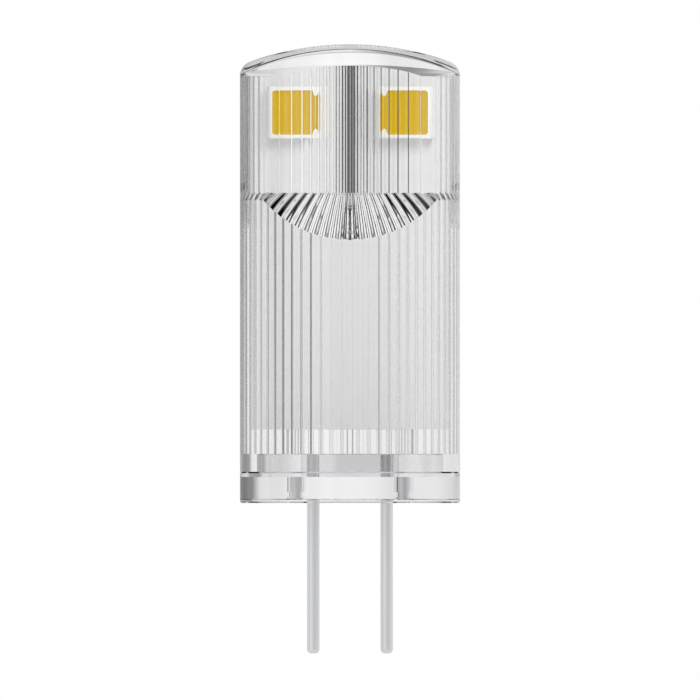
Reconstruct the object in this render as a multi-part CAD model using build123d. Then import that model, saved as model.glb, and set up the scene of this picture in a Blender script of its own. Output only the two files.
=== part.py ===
from build123d import *

import os
from math import cos, pi, radians, sin, sqrt

# A two-pin LED capsule lamp, in millimetres.
# The origin is the middle of the base's seating face. +Z runs up the lamp's axis to the roof, the two
# pins point down, X runs across the pins, and the lit front faces -Y.
# Left and right are as seen from the front.

# Outer form
body_diameter = 12.0
cover_top = 25.0  # height of the roof's ridge
roof_radius = 16.4  # the roof is arched from left to right and straight from front to back
roof_fillet = 0.55

# Contact pins
pin_pitch = 4.0
pin_diameter = 0.68
pin_length = 8.2  # below the seating face
pin_tip_fillet = 0.24
pin_overlap = 1.7  # how far a pin runs up behind the board
pin_fit = 0.01  # clearance of a pin in the base
pin_groove_depth = 0.08  # of the groove that the base's plastic fills, to hold the pin
pin_groove_width = 0.3
pin_groove_inset = 0.08  # above the underside of the base's floor

# Base
flange_height = 1.7
flange_chamfer = 0.08
underside_recess = 0.22
underside_rim = 0.8
floor_thickness = 1.2
spigot_gap = 0.33  # radial, between the ring and the cover's bore
spigot_height = 0.97  # above the flange
spigot_wall = 0.65
pin_block_wall = 0.28  # outside each pin
pin_block_depth = 1.8
pin_block_step = 0.46  # height of the wider foot of the pin block
pin_block_foot = 0.25  # how far that foot stands out at the front and the back

# Cover, lower bore
cover_wall = 0.6
counterbore_clearance = 0.05  # radial, of the smooth mouth outside the fluted bore

# Cover, upper chamber
chamber_depth = 5.2  # between its flat front and back walls
chamber_step = 0.4  # how far its round sides stand inside the bore
chamber_start = 16.9  # height at which the sloped shoulders end
shoulder_slope = 0.9  # height gained for each millimetre inwards

# Cover, ceiling
ceiling_thickness = 1.2  # under the roof's ridge
ceiling_arch_radius = 10.4
ceiling_arch_rise = 0.56  # of the arch above the flat parts of the ceiling beside it

# Flutes of the cover's inner wall
flute_count = 60
flute_depth = 0.12
flute_facets = 4  # flat faces that make up one flute

# Board
board_thickness = 1.0
board_bottom = 4.0
board_top_gap = 0.08
board_side_gap = 0.08  # to the crests between the flutes
board_pin_gap = 0.05

# Light-emitting packages
led_width = 2.48
led_height = 2.83
led_depth = 0.75
led_spacing = 4.7  # between the centres of a pair
led_margin = 0.5  # below the shoulders of the board's arched top
led_side_rim = 0.16  # white rim beside the phosphor
led_end_rim = 0.21  # the same rim above and below it
phosphor_depth = 0.4
phosphor_chamfer = 0.33  # at the corners that face the lamp's middle
phosphor_fillet = 0.15  # at the other corners
die_width = 0.76
die_height = 1.1
die_thickness = 0.15

# Solder joints
solder_width = 1.3
solder_margin = 0.1  # how far a bead ends below the pin's top and above the board's edge
solder_depth = 0.55
solder_taper = 25.0  # degrees

# Driver parts on the back of the board
part_gap = 0.55  # between one row of parts and the next
lead_thickness = 0.2
lead_width = 0.45
lead_reach = 0.5  # how far a lead stands out of its package
rectifier_width = 3.9
rectifier_height = 2.8
rectifier_depth = 1.4
rectifier_lead_pitch = 2.54
driver_width = 2.9
driver_height = 1.6
driver_depth = 1.1
driver_lead_pitch = 0.95
package_draft = 6.0  # degrees
capacitor_width = 2.5
capacitor_height = 3.2
capacitor_depth = 1.8
capacitor_spacing = 4.6
resistor_width = 2.0
resistor_height = 1.25
resistor_depth = 0.5
resistor_spacing = 3.4
chip_edge_fillet = 0.08

# Heights and places that follow from the sizes above
body_radius = body_diameter / 2
pin_radius = pin_diameter / 2
floor_top = underside_recess + floor_thickness
spigot_top = flange_height + spigot_height
bore_radius = body_radius - cover_wall
spigot_radius = bore_radius - spigot_gap
chamber_radius = bore_radius - chamber_step
ceiling_crown = cover_top - ceiling_thickness
ceiling_height = ceiling_crown - ceiling_arch_rise
board_shoulder = ceiling_height - board_top_gap
board_back = -pin_radius - board_pin_gap
board_front = board_back - board_thickness
board_half_width = sqrt((chamber_radius - flute_depth) ** 2 - board_front**2) - board_side_gap
pin_top = board_bottom + pin_overlap
groove_low = underside_recess + pin_groove_inset
led_centre = board_shoulder - led_margin - led_height / 2


def standing_box(width, depth, low, high):
    """A box centred on the lamp's axis, between two heights."""
    return Pos(0, 0, low) * Box(width, depth, high - low, align=(Align.CENTER, Align.CENTER, Align.MIN))


def upright_cylinder(radius, low, high):
    """A cylinder on the lamp's axis between two heights."""
    return Pos(0, 0, low) * Cylinder(radius, high - low, align=(Align.CENTER, Align.CENTER, Align.MIN))


# Cover


def lengthwise_barrel(radius, top):
    """A cylinder that lies from front to back, with its highest line at a height."""
    return Pos(0, 0, top - radius) * Rot(90, 0, 0) * Cylinder(radius, 2 * body_diameter)


def wall_line(azimuth, inset):
    """The corners of one line of the fluted wall, from the mouth to the top.

    The line lies in an upright plane through the lamp's axis and stands in from the plain wall by the
    inset. It climbs the bore, follows the sloped shoulder and goes on up the chamber's wall. The
    chamber's flat walls are met where they lie inside its round sides.
    """
    straightness = abs(cos(azimuth))
    flat = chamber_depth / 2
    lean = inset * sqrt(1 + shoulder_slope**2)
    bore_reach = bore_radius - inset
    if flat < chamber_radius * straightness:
        chamber_reach = (flat - inset) / straightness
        slope_top = chamber_start + shoulder_slope * flat - lean
        fall = shoulder_slope * straightness
    else:
        chamber_reach = chamber_radius - inset
        slope_top = chamber_start + shoulder_slope * chamber_radius - lean
        fall = shoulder_slope

    def corner(reach, height):
        """A point in the line's upright plane, at a reach from the axis and a height."""
        return Vector(reach * sin(azimuth), -reach * cos(azimuth), height)

    return [
        corner(bore_reach, spigot_top),
        corner(bore_reach, slope_top - fall * bore_reach),
        corner(chamber_reach, slope_top - fall * chamber_reach),
        corner(chamber_reach, cover_top),
    ]


def wall_faces(left, right):
    """The flat faces between two neighbouring lines of the fluted wall."""
    faces = []
    for quad in zip(left, right, right[1:], left[1:]):
        normal = (quad[1] - quad[0]).cross(quad[2] - quad[0])
        twist = abs(normal.normalized().dot(quad[3] - quad[0]))
        if twist < 1e-7:
            faces.append(Face(Wire.make_polygon(quad)))
        else:
            faces.append(Face(Wire.make_polygon(quad[:3])))
            faces.append(Face(Wire.make_polygon([quad[0], quad[2], quad[3]])))
    return faces


def fluted_core():
    """The space inside the cover as one solid of flat faces, whose wall is a wave for each flute."""
    count = flute_count * flute_facets
    lines = []
    for step in range(count):
        azimuth = radians(360 / count * step)
        wave = (1 + cos(2 * pi / flute_facets * step)) / 2
        lines.append(wall_line(azimuth, flute_depth * wave))
    faces = []
    for left, right in zip(lines, lines[1:] + lines[:1]):
        faces += wall_faces(left, right)
    faces.append(Face(Wire.make_polygon([line[0] for line in lines])))
    faces.append(Face(Wire.make_polygon([line[-1] for line in lines])))
    return Solid(Shell(faces))


def above_ceiling():
    """What lies above the chamber's ceiling: flat on the left and right, arched in the middle."""
    block = upright_cylinder(body_radius, ceiling_height, cover_top)
    return block - lengthwise_barrel(ceiling_arch_radius, ceiling_crown)


def cover():
    """The clear cover: a tube under an arched roof, whose fluted wall closes in to a flat chamber."""
    tube = upright_cylinder(body_radius, flange_height, cover_top)
    skin = tube & lengthwise_barrel(roof_radius, cover_top)
    roof = skin.faces().sort_by(Axis.Z)[-1]
    skin = fillet(roof.edges(), roof_fillet)
    mouth = upright_cylinder(bore_radius + counterbore_clearance, flange_height, spigot_top)
    return skin - mouth - (fluted_core() - above_ceiling())


# Base and pins


def pin_places():
    """The two places of the pins across the lamp, left then right."""
    return [-pin_pitch / 2, pin_pitch / 2]


def base():
    """The clear plug: a flange with a recessed underside, a ring inside the cover and a pin block."""
    flange = upright_cylinder(body_radius, 0, flange_height)
    flange = chamfer(flange.edges().filter_by(GeomType.CIRCLE), flange_chamfer)
    plug = flange + upright_cylinder(spigot_radius, underside_recess, spigot_top)
    plug -= upright_cylinder(spigot_radius - spigot_wall, floor_top, spigot_top)
    plug -= upright_cylinder(body_radius - underside_rim, 0, underside_recess)
    block_width = pin_pitch + pin_diameter + 2 * pin_block_wall
    foot_depth = pin_block_depth + 2 * pin_block_foot
    plug += standing_box(block_width, pin_block_depth, floor_top, spigot_top)
    plug += standing_box(block_width, foot_depth, floor_top, floor_top + pin_block_step)
    for x in pin_places():
        plug -= Pos(x, 0, 0) * pin_hole()
    return plug


def pin_hole():
    """The space for one pin in the base, on the pin's own axis, with the groove left filled."""
    low = groove_low + pin_fit
    high = groove_low + pin_groove_width - pin_fit
    core = upright_cylinder(pin_radius - pin_groove_depth + pin_fit, 0, spigot_top)
    below = upright_cylinder(pin_radius + pin_fit, 0, low)
    above = upright_cylinder(pin_radius + pin_fit, high, spigot_top)
    return core + below + above


def pin(x):
    """One contact pin: a straight wire from its rounded tip to its joint behind the board.

    A shallow groove runs round the wire where it enters the base.
    """
    neck = pin_radius - pin_groove_depth
    groove_high = groove_low + pin_groove_width
    half = Polyline(
        (0, -pin_length),
        (pin_radius, -pin_length),
        (pin_radius, groove_low),
        (neck, groove_low),
        (neck, groove_high),
        (pin_radius, groove_high),
        (pin_radius, pin_top),
        (0, pin_top),
        close=True,
    )
    profile = make_face(half)
    tip = profile.vertices().group_by(Axis.Y)[0].sort_by(Axis.X)[-1]
    return Pos(x, 0, 0) * revolve(Plane.XZ * fillet(tip, pin_tip_fillet), Axis.Z)


def solder(x):
    """The solder that ties one pin to the back of the board, as a tapered bead round the wire."""
    outline = Rectangle(solder_width, pin_overlap - 2 * solder_margin)
    bead = extrude(on_back(x, (board_bottom + pin_top) / 2) * outline, solder_depth, taper=solder_taper)
    return bead - Pos(x, 0, 0) * upright_cylinder(pin_radius, board_bottom, pin_top)


# Board and what it carries


def board():
    """The board that stands across the lamp in front of the pins, with a top that fits the ceiling."""
    slab = standing_box(2 * board_half_width, board_thickness, board_bottom, board_shoulder)
    arch = standing_box(2 * board_half_width, board_thickness, board_shoulder, ceiling_crown)
    arch &= lengthwise_barrel(ceiling_arch_radius - board_top_gap, ceiling_crown - board_top_gap)
    return Pos(0, (board_front + board_back) / 2, 0) * (slab + arch)


def on_front(x, height):
    """A frame on the board's front face: its x runs right, its y up and its z out of the board."""
    return Plane(origin=(x, board_front, height), x_dir=(1, 0, 0), z_dir=(0, -1, 0))


def on_back(x, height):
    """The same on the board's back face, where x is still the lamp's own."""
    return Plane(origin=(x, board_back, height), x_dir=(-1, 0, 0), z_dir=(0, 1, 0))


def led_seats():
    """Each package's name and seat, with the side of its seat that faces the lamp's middle."""
    half = led_spacing / 2
    return {
        "front_left": (on_front(-half, led_centre), 1),
        "front_right": (on_front(half, led_centre), -1),
        "rear_left": (on_back(-half, led_centre), -1),
        "rear_right": (on_back(half, led_centre), 1),
    }


def phosphor_outline(inner_side):
    """The phosphor's face, with its two corners that face the lamp's middle cut off."""
    outline = Rectangle(led_width - 2 * led_side_rim, led_height - 2 * led_end_rim)
    corners = outline.vertices().sort_by(Axis.X)
    inner = corners[-2:] if inner_side > 0 else corners[:2]
    outline = chamfer(inner, phosphor_chamfer)
    corners = outline.vertices().sort_by(Axis.X)
    outer = corners[:2] if inner_side > 0 else corners[-2:]
    return fillet(outer, phosphor_fillet)


def phosphor_block(inner_side):
    """The whole pocket of the package, from its floor to its face, on the package's own frame."""
    return Pos(0, 0, led_depth - phosphor_depth) * extrude(phosphor_outline(inner_side), phosphor_depth)


def die_block():
    """The light-emitting die on the floor of the pocket."""
    floor = led_depth - phosphor_depth
    return Pos(0, 0, floor) * Box(
        die_width, die_height, die_thickness, align=(Align.CENTER, Align.CENTER, Align.MIN)
    )


def led_package(inner_side):
    """The white package: a low block with a pocket for the die and the phosphor."""
    block = extrude(Rectangle(led_width, led_height), led_depth)
    return block - phosphor_block(inner_side)


def chip_body(width, height, depth):
    """A small ceramic part, on its own frame, with softened edges."""
    block = extrude(Rectangle(width, height), depth)
    return fillet(block.edges().filter_by(Axis.Z), chip_edge_fillet)


def leaded_package(width, height, depth, lead_columns):
    """A moulded package with drafted sides and a row of bent leads above and below it."""
    middle = depth / 2
    upper = extrude(Plane.XY.offset(middle) * Rectangle(width, height), middle, taper=package_draft)
    lower = extrude(
        Plane.XY.offset(middle) * Rectangle(width, height),
        middle - lead_thickness / 2,
        dir=(0, 0, -1),
        taper=package_draft,
    )
    package = upper + lower
    edge = height / 2
    knee = edge + lead_reach / 2
    tip = edge + lead_reach
    shoulder = middle + lead_thickness / 2
    profile = Polyline(
        (edge - lead_thickness, shoulder - lead_thickness),
        (edge - lead_thickness, shoulder),
        (knee, shoulder),
        (knee, lead_thickness),
        (tip, lead_thickness),
        (tip, 0),
        (knee - lead_thickness, 0),
        (knee - lead_thickness, shoulder - lead_thickness),
        close=True,
    )
    for turn in (0, 180):
        for column in lead_columns:
            strip = extrude(Plane.YZ * make_face(profile), lead_width / 2, both=True)
            package += Rot(0, 0, turn) * Pos(column, 0, 0) * strip
    return package


def driver_parts():
    """The rectifier, the driver chip, the capacitors and the resistors on the board's back."""
    rectifier_columns = [-rectifier_lead_pitch / 2, rectifier_lead_pitch / 2]
    driver_columns = [-driver_lead_pitch, 0, driver_lead_pitch]
    rectifier = leaded_package(rectifier_width, rectifier_height, rectifier_depth, rectifier_columns)
    driver = leaded_package(driver_width, driver_height, driver_depth, driver_columns)
    capacitor = chip_body(capacitor_width, capacitor_height, capacitor_depth)
    resistor = chip_body(resistor_width, resistor_height, resistor_depth)
    rows = [rectifier_height + 2 * lead_reach, capacitor_height, driver_height + 2 * lead_reach]
    rectifier_place = pin_top + part_gap + rows[0] / 2
    capacitor_place = rectifier_place + rows[0] / 2 + part_gap + rows[1] / 2
    driver_place = capacitor_place + rows[1] / 2 + part_gap + rows[2] / 2
    resistor_place = driver_place + rows[2] / 2 + part_gap + resistor_height / 2
    return {
        "rectifier": on_back(0, rectifier_place) * rectifier,
        "driver_chip": on_back(0, driver_place) * driver,
        "capacitor_left": on_back(-capacitor_spacing / 2, capacitor_place) * capacitor,
        "capacitor_right": on_back(capacitor_spacing / 2, capacitor_place) * capacitor,
        "resistor_left": on_back(-resistor_spacing / 2, resistor_place) * resistor,
        "resistor_right": on_back(resistor_spacing / 2, resistor_place) * resistor,
    }


def lamp():
    """Every piece of the lamp by its name."""
    left, right = pin_places()
    pieces = {
        "cover": cover(),
        "base": base(),
        "pin_left": pin(left),
        "pin_right": pin(right),
        "solder_left": solder(left),
        "solder_right": solder(right),
        "board": board(),
    }
    for place, (seat, inner_side) in led_seats().items():
        pieces[f"led_{place}"] = seat * led_package(inner_side)
        pieces[f"phosphor_{place}"] = seat * (phosphor_block(inner_side) - die_block())
        pieces[f"die_{place}"] = seat * die_block()
    pieces.update(driver_parts())
    return pieces


os.makedirs("parts", exist_ok=True)
for name, piece in lamp().items():
    export_step(piece, f"parts/{name}.step")
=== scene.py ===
"""The looks of a two-pin LED capsule lamp: clear fluted plastic over a board with four emitters."""

import logging
import math
from collections.abc import Callable, Iterator, Sequence
from contextlib import contextmanager
from dataclasses import dataclass
from enum import Enum

import bmesh
import bpy
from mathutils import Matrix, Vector


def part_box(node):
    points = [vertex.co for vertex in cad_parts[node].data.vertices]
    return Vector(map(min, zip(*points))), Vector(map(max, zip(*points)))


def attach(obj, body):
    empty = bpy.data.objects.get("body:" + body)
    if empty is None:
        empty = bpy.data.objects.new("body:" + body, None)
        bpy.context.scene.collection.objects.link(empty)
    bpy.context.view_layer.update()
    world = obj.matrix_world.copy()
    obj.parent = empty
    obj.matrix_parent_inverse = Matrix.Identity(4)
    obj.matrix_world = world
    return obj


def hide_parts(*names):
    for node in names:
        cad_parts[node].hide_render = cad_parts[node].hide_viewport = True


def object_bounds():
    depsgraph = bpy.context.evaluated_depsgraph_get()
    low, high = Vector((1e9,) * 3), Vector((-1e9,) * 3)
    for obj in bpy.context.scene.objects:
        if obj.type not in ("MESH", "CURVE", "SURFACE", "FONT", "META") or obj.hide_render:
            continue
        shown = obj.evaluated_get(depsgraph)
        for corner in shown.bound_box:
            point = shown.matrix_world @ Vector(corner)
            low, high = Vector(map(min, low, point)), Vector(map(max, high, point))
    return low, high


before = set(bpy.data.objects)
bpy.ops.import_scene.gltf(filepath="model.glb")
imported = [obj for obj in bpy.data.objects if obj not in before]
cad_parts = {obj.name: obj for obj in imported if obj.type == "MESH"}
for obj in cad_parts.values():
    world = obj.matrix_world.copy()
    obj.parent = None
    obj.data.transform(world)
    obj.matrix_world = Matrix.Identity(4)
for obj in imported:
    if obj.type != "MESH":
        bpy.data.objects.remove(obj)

CAD_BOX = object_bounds()
MM = 0.001
BODY = "root"
SIDES = ("left", "right")
log = logging.getLogger("capsule_lamp")

Point = tuple[float, float, float]
Outline = Sequence[tuple[float, float]]
Plan = tuple[tuple[float, float], ...]
Value = float | bpy.types.NodeSocket


# Colour and nodes


def linear(colour: str) -> tuple[float, float, float, float]:
    """Turns an sRGB hex colour into the linear values that a shader takes.

    Args:
        colour: Six hex digits after a hash sign.

    Returns:
        Red, green, blue and an alpha of 1.
    """
    parts = [int(colour[i : i + 2], 16) / 255 for i in (1, 3, 5)]
    red, green, blue = (c / 12.92 if c <= 0.04045 else ((c + 0.055) / 1.055) ** 2.4 for c in parts)
    return red, green, blue, 1.0


def add_node(tree: bpy.types.NodeTree, kind: str, inputs: dict | None = None, **settings) -> bpy.types.Node:
    """Adds a node to a tree.

    Args:
        tree: The node tree that takes it.
        kind: The node's type.
        inputs: A value, or an output socket to link, for each input by its name or number.
        settings: The node's own properties.

    Returns:
        The new node.
    """
    node = tree.nodes.new(kind)
    for name, value in settings.items():
        setattr(node, name, value)
    for name, value in (inputs or {}).items():
        socket = node.inputs[name]
        if isinstance(value, bpy.types.NodeSocket):
            tree.links.new(value, socket)
        else:
            socket.default_value = value
    return node


def fresh(owner: bpy.types.Material | bpy.types.World) -> bpy.types.NodeTree:
    """Gives a material or a world an empty node tree, and returns the tree."""
    owner.use_nodes = True
    owner.node_tree.nodes.clear()
    return owner.node_tree


def worked_out(tree: bpy.types.NodeTree, operation: str, *values: Value) -> bpy.types.NodeSocket:
    """Works out a value from others with a math node, and returns its socket."""
    return add_node(tree, "ShaderNodeMath", dict(enumerate(values)), operation=operation).outputs[0]


def rising(tree: bpy.types.NodeTree, value: Value, low: float, high: float, kind: str) -> bpy.types.NodeSocket:
    """Gives what rises from 0 to 1 while a value goes from low to high, with the interpolation of that kind."""
    inputs = {"Value": value, "From Min": low, "From Max": high}
    return add_node(tree, "ShaderNodeMapRange", inputs, interpolation_type=kind).outputs[0]


def blended(tree: bpy.types.NodeTree, factor: Value, first: Value, second: Value) -> bpy.types.NodeSocket:
    """Mixes two shaders by a factor, where 1 shows only the second."""
    return add_node(tree, "ShaderNodeMixShader", {0: factor, 1: first, 2: second}).outputs[0]


def relieved(tree: bpy.types.NodeTree, height: bpy.types.NodeSocket, depth: float) -> bpy.types.NodeSocket:
    """Gives the normals of a relief whose depth is in millimetres."""
    return add_node(tree, "ShaderNodeBump", {"Height": height, "Distance": depth * MM, "Strength": 1.0}).outputs[0]


# Modelling


class Part(Enum):
    """What is picked in edit mode."""

    VERTEX = "VERT"
    EDGE = "EDGE"
    FACE = "FACE"


class Axis(Enum):
    """The axis that a piece is mirrored along."""

    ACROSS = 0
    HEIGHT = 2


def span(node: str) -> tuple[Vector, Vector]:
    """The lowest and highest corners of a CAD node, in millimetres."""
    low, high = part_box(node)
    return low / MM, high / MM


def deselect() -> None:
    """Leaves no object selected."""
    bpy.ops.object.select_all(action="DESELECT")


def activate(piece: bpy.types.Object) -> None:
    """Makes a piece the only one selected.

    Args:
        piece: The piece.
    """
    deselect()
    piece.select_set(True)
    bpy.context.view_layer.objects.active = piece


def named(name: str) -> bpy.types.Object:
    """Names the primitive that was just added, and puts its place in its mesh.

    Args:
        name: The piece's name.

    Returns:
        The piece.
    """
    piece = bpy.context.active_object
    piece.name = piece.data.name = name
    activate(piece)
    bpy.ops.object.transform_apply(location=True, rotation=True, scale=True)
    return piece


@contextmanager
def editing(piece: bpy.types.Object, part: Part = Part.FACE) -> Iterator[None]:
    """Edits a piece's mesh with nothing picked at first.

    Args:
        piece: The piece.
        part: Which elements are picked.

    Yields:
        Nothing, while the piece is in edit mode.
    """
    activate(piece)
    bpy.ops.object.mode_set(mode="EDIT")
    bpy.ops.mesh.select_mode(type=part.value)
    bpy.ops.mesh.select_all(action="DESELECT")
    yield
    bpy.ops.object.mode_set(mode="OBJECT")


def pick(piece: bpy.types.Object, part: Part, test: Callable[[Vector, Vector], bool]) -> None:
    """Picks what passes a test, in edit mode, and drops the rest.

    Args:
        piece: The piece in edit mode.
        part: Which elements are looked at.
        test: Takes an element's middle, in millimetres, and its normal or its run from end to end.
    """
    mesh = bmesh.from_edit_mesh(piece.data)
    bpy.ops.mesh.select_mode(type=part.value)
    bpy.ops.mesh.select_all(action="DESELECT")
    if part is Part.FACE:
        found = [(f, f.calc_center_median(), f.normal) for f in mesh.faces]
    elif part is Part.EDGE:
        ends = [(e, e.verts[0].co, e.verts[1].co) for e in mesh.edges]
        found = [(e, (a + b) / 2, (b - a).normalized()) for e, a, b in ends]
    else:
        found = [(v, v.co, v.normal) for v in mesh.verts]
    for element, middle, facing in found:
        if test(middle / MM, facing):
            element.select_set(True)
    mesh.select_flush_mode()
    bmesh.update_edit_mesh(piece.data)


def pick_all() -> None:
    """Picks the whole mesh, in edit mode."""
    bpy.ops.mesh.select_all(action="SELECT")


def extrude(x: float, y: float, z: float) -> None:
    """Extrudes what is picked, in edit mode, by a way in millimetres."""
    bpy.ops.mesh.extrude_region_move(TRANSFORM_OT_translate={"value": (x * MM, y * MM, z * MM)})


def block(name: str, low: Point, high: Point) -> bpy.types.Object:
    """Adds a cube at its size and place.

    Args:
        name: The piece's name.
        low: Its lowest corner, in millimetres.
        high: Its highest corner.

    Returns:
        The piece.
    """
    deselect()
    middle = [(a + b) / 2 * MM for a, b in zip(low, high)]
    size = [(b - a) * MM for a, b in zip(low, high)]
    bpy.ops.mesh.primitive_cube_add(size=1, location=middle, scale=size)
    return named(name)


def rod(name: str, foot: Point, radius: float, length: float, steps: int) -> bpy.types.Object:
    """Adds an upright cylinder.

    Args:
        name: The piece's name.
        foot: The middle of its lower end, in millimetres.
        radius: Its radius.
        length: Its length.
        steps: How many flats go round it.

    Returns:
        The piece.
    """
    deselect()
    middle = (foot[0] * MM, foot[1] * MM, (foot[2] + length / 2) * MM)
    bpy.ops.mesh.primitive_cylinder_add(vertices=steps, radius=radius * MM, depth=length * MM, location=middle)
    return named(name)


def traced(name: str, start: Point, steps: Sequence[Point]) -> bpy.types.Object:
    """Draws a line of edges by extruding one point from step to step.

    Args:
        name: The piece's name.
        start: The first point, in millimetres.
        steps: The way from each point to the next.

    Returns:
        The piece, which is a line so far.
    """
    deselect()
    bpy.ops.mesh.primitive_plane_add(size=MM, location=(0, 0, 0))
    piece = named(name)
    with editing(piece, Part.VERTEX):
        pick_all()
        bpy.ops.mesh.merge(type="CENTER")
        bpy.ops.transform.translate(value=[c * MM for c in start])
        for step in steps:
            extrude(*step)
    return piece


def turned(name: str, outline: Outline, steps: int, at: float = 0.0) -> bpy.types.Object:
    """Turns an outline round an upright axis.

    Args:
        name: The piece's name.
        outline: Radius and height of each point, in millimetres, from the axis at one end to the other.
        steps: How many steps the turn takes.
        at: Where the axis stands along X, in millimetres.

    Returns:
        The closed piece.
    """
    ways = [(r1 - r0, 0.0, h1 - h0) for (r0, h0), (r1, h1) in zip(outline, outline[1:])]
    piece = traced(name, (outline[0][0], 0.0, outline[0][1]), ways)
    with editing(piece, Part.VERTEX):
        pick_all()
        bpy.ops.mesh.spin(steps=steps, angle=math.tau, center=(0, 0, 0), axis=(0, 0, 1))
        pick_all()
        bpy.ops.mesh.remove_doubles(threshold=1e-7)
        pick_all()
        bpy.ops.mesh.normals_make_consistent(inside=False)
        bpy.ops.transform.translate(value=(at * MM, 0, 0))
    return piece


def arc(centre: tuple[float, float], radius: float, start: float, end: float, count: int) -> Outline:
    """Gives the points of an arc in an outline, with both its ends.

    Args:
        centre: The arc's centre in the outline's plane.
        radius: Its radius.
        start: Its first angle, in degrees.
        end: Its last angle.
        count: How many steps it takes.

    Returns:
        The points in order.
    """
    angles = [math.radians(start + (end - start) * i / count) for i in range(count + 1)]
    return [(centre[0] + radius * math.cos(a), centre[1] + radius * math.sin(a)) for a in angles]


def strip(name: str, outline: Outline, left: float, right: float) -> bpy.types.Object:
    """Draws a closed outline in an upright plane from front to back, and pulls it sideways.

    Args:
        name: The piece's name.
        outline: Depth and height of each corner, in millimetres.
        left: Where the piece starts across the lamp.
        right: Where it ends.

    Returns:
        The closed piece.
    """
    ways = [(0.0, y1 - y0, z1 - z0) for (y0, z0), (y1, z1) in zip(outline, outline[1:])]
    piece = traced(name, (left, *outline[0]), ways)
    with editing(piece, Part.VERTEX):
        pick_all()
        bpy.ops.mesh.edge_face_add()
        extrude(right - left, 0, 0)
        pick_all()
        bpy.ops.mesh.normals_make_consistent(inside=False)
    return piece


def above_arch(name: str, shoulder: float, crown: float, radius: float, wide: float) -> bpy.types.Object:
    """Makes what lies above a flat ceiling whose middle is arched from left to right.

    Args:
        name: The piece's name.
        shoulder: Height of the flat parts.
        crown: Height of the arch's highest line.
        radius: The arch's radius.
        wide: Half the piece's width and depth.

    Returns:
        The piece, which reaches well over the crown.
    """
    above = block(name, (-wide, -wide, shoulder), (wide, wide, crown + wide))
    deselect()
    bpy.ops.mesh.primitive_cylinder_add(
        vertices=720,
        radius=radius * MM,
        depth=4 * wide * MM,
        location=(0, 0, (crown - radius) * MM),
        rotation=(math.pi / 2, 0, 0),
    )
    combine(above, named(f"{name}_arch"))
    return above


def combine(piece: bpy.types.Object, other: bpy.types.Object, operation: str = "DIFFERENCE") -> None:
    """Changes a piece by another, which is used up.

    Args:
        piece: The piece that stays.
        other: What cuts it or joins it.
        operation: The Boolean modifier's operation.
    """
    activate(piece)
    bpy.ops.object.modifier_add(type="BOOLEAN")
    change = piece.modifiers[-1]
    change.object = other
    change.operation = operation
    change.solver = "EXACT"
    bpy.ops.object.modifier_apply(modifier=change.name)
    bpy.data.objects.remove(other)


def join(pieces: Sequence[bpy.types.Object], name: str) -> bpy.types.Object:
    """Makes several pieces one mesh.

    Args:
        pieces: The pieces, of which the first stays.
        name: Its new name.

    Returns:
        The joined piece.
    """
    activate(pieces[0])
    for other in pieces[1:]:
        other.select_set(True)
    bpy.ops.object.join()
    pieces[0].name = pieces[0].data.name = name
    return pieces[0]


def soften(piece: bpy.types.Object, width: float, segments: int = 2, angle: float = 30) -> None:
    """Rounds a piece's edges with a bevel modifier, applied.

    Args:
        piece: The piece.
        width: The bevel's width, in millimetres.
        segments: How many faces it takes.
        angle: The least angle, in degrees, of an edge that is rounded.
    """
    activate(piece)
    bpy.ops.object.modifier_add(type="BEVEL")
    change = piece.modifiers[-1]
    change.width = width * MM
    change.segments = segments
    change.limit_method = "ANGLE"
    change.angle_limit = math.radians(angle)
    change.harden_normals = False
    bpy.ops.object.modifier_apply(modifier=change.name)


def smooth(piece: bpy.types.Object, angle: float = 35) -> None:
    """Shades a piece smooth but for its edges sharper than an angle in degrees."""
    activate(piece)
    bpy.ops.object.shade_smooth_by_angle(angle=math.radians(angle))


def copied(piece: bpy.types.Object, name: str, offset: Point = (0, 0, 0)) -> bpy.types.Object:
    """Copies a piece with a mesh of its own.

    Args:
        piece: The piece to copy.
        name: The copy's name.
        offset: How far the copy is moved, in millimetres.

    Returns:
        The copy.
    """
    activate(piece)
    bpy.ops.object.duplicate(linked=False)
    copy = bpy.context.active_object
    copy.name = copy.data.name = name
    copy.location = [c * MM for c in offset]
    bpy.ops.object.transform_apply(location=True, rotation=False, scale=False)
    return copy


def mirrored(piece: bpy.types.Object, name: str, axis: Axis, at: float = 0.0) -> bpy.types.Object:
    """Copies a piece to the other side of a plane, with a mesh of its own.

    Args:
        piece: The closed piece to copy.
        name: The copy's name.
        axis: The axis that crosses the plane.
        at: Where the plane stands on that axis, in millimetres.

    Returns:
        The copy, with its faces pointing outwards.
    """
    copy = copied(piece, name)
    scale, centre = [1.0, 1.0, 1.0], [0.0, 0.0, 0.0]
    scale[axis.value] = -1.0
    centre[axis.value] = at * MM
    with editing(copy, Part.VERTEX):
        pick_all()
        bpy.ops.transform.resize(value=scale, center_override=centre)
        bpy.ops.mesh.normals_make_consistent(inside=False)
    return copy


def place(piece: bpy.types.Object, finishes: Sequence[bpy.types.Material], slot: str, *nodes: str) -> None:
    """Dresses a finished piece and ties it to the frame.

    Args:
        piece: The finished piece, whose faces hold the indices of their finishes.
        finishes: Its materials, in the order of those indices.
        slot: Not used.
        nodes: The CAD nodes that it stands for.
    """
    indices = [face.material_index for face in piece.data.polygons]
    piece.data.materials.clear()
    for finish in finishes:
        piece.data.materials.append(finish)
    for face, index in zip(piece.data.polygons, indices):
        face.material_index = index
    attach(piece, BODY)
    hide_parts(*nodes)
    log.info("%s: %d faces", piece.name, len(piece.data.polygons))


# Finishes


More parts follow.
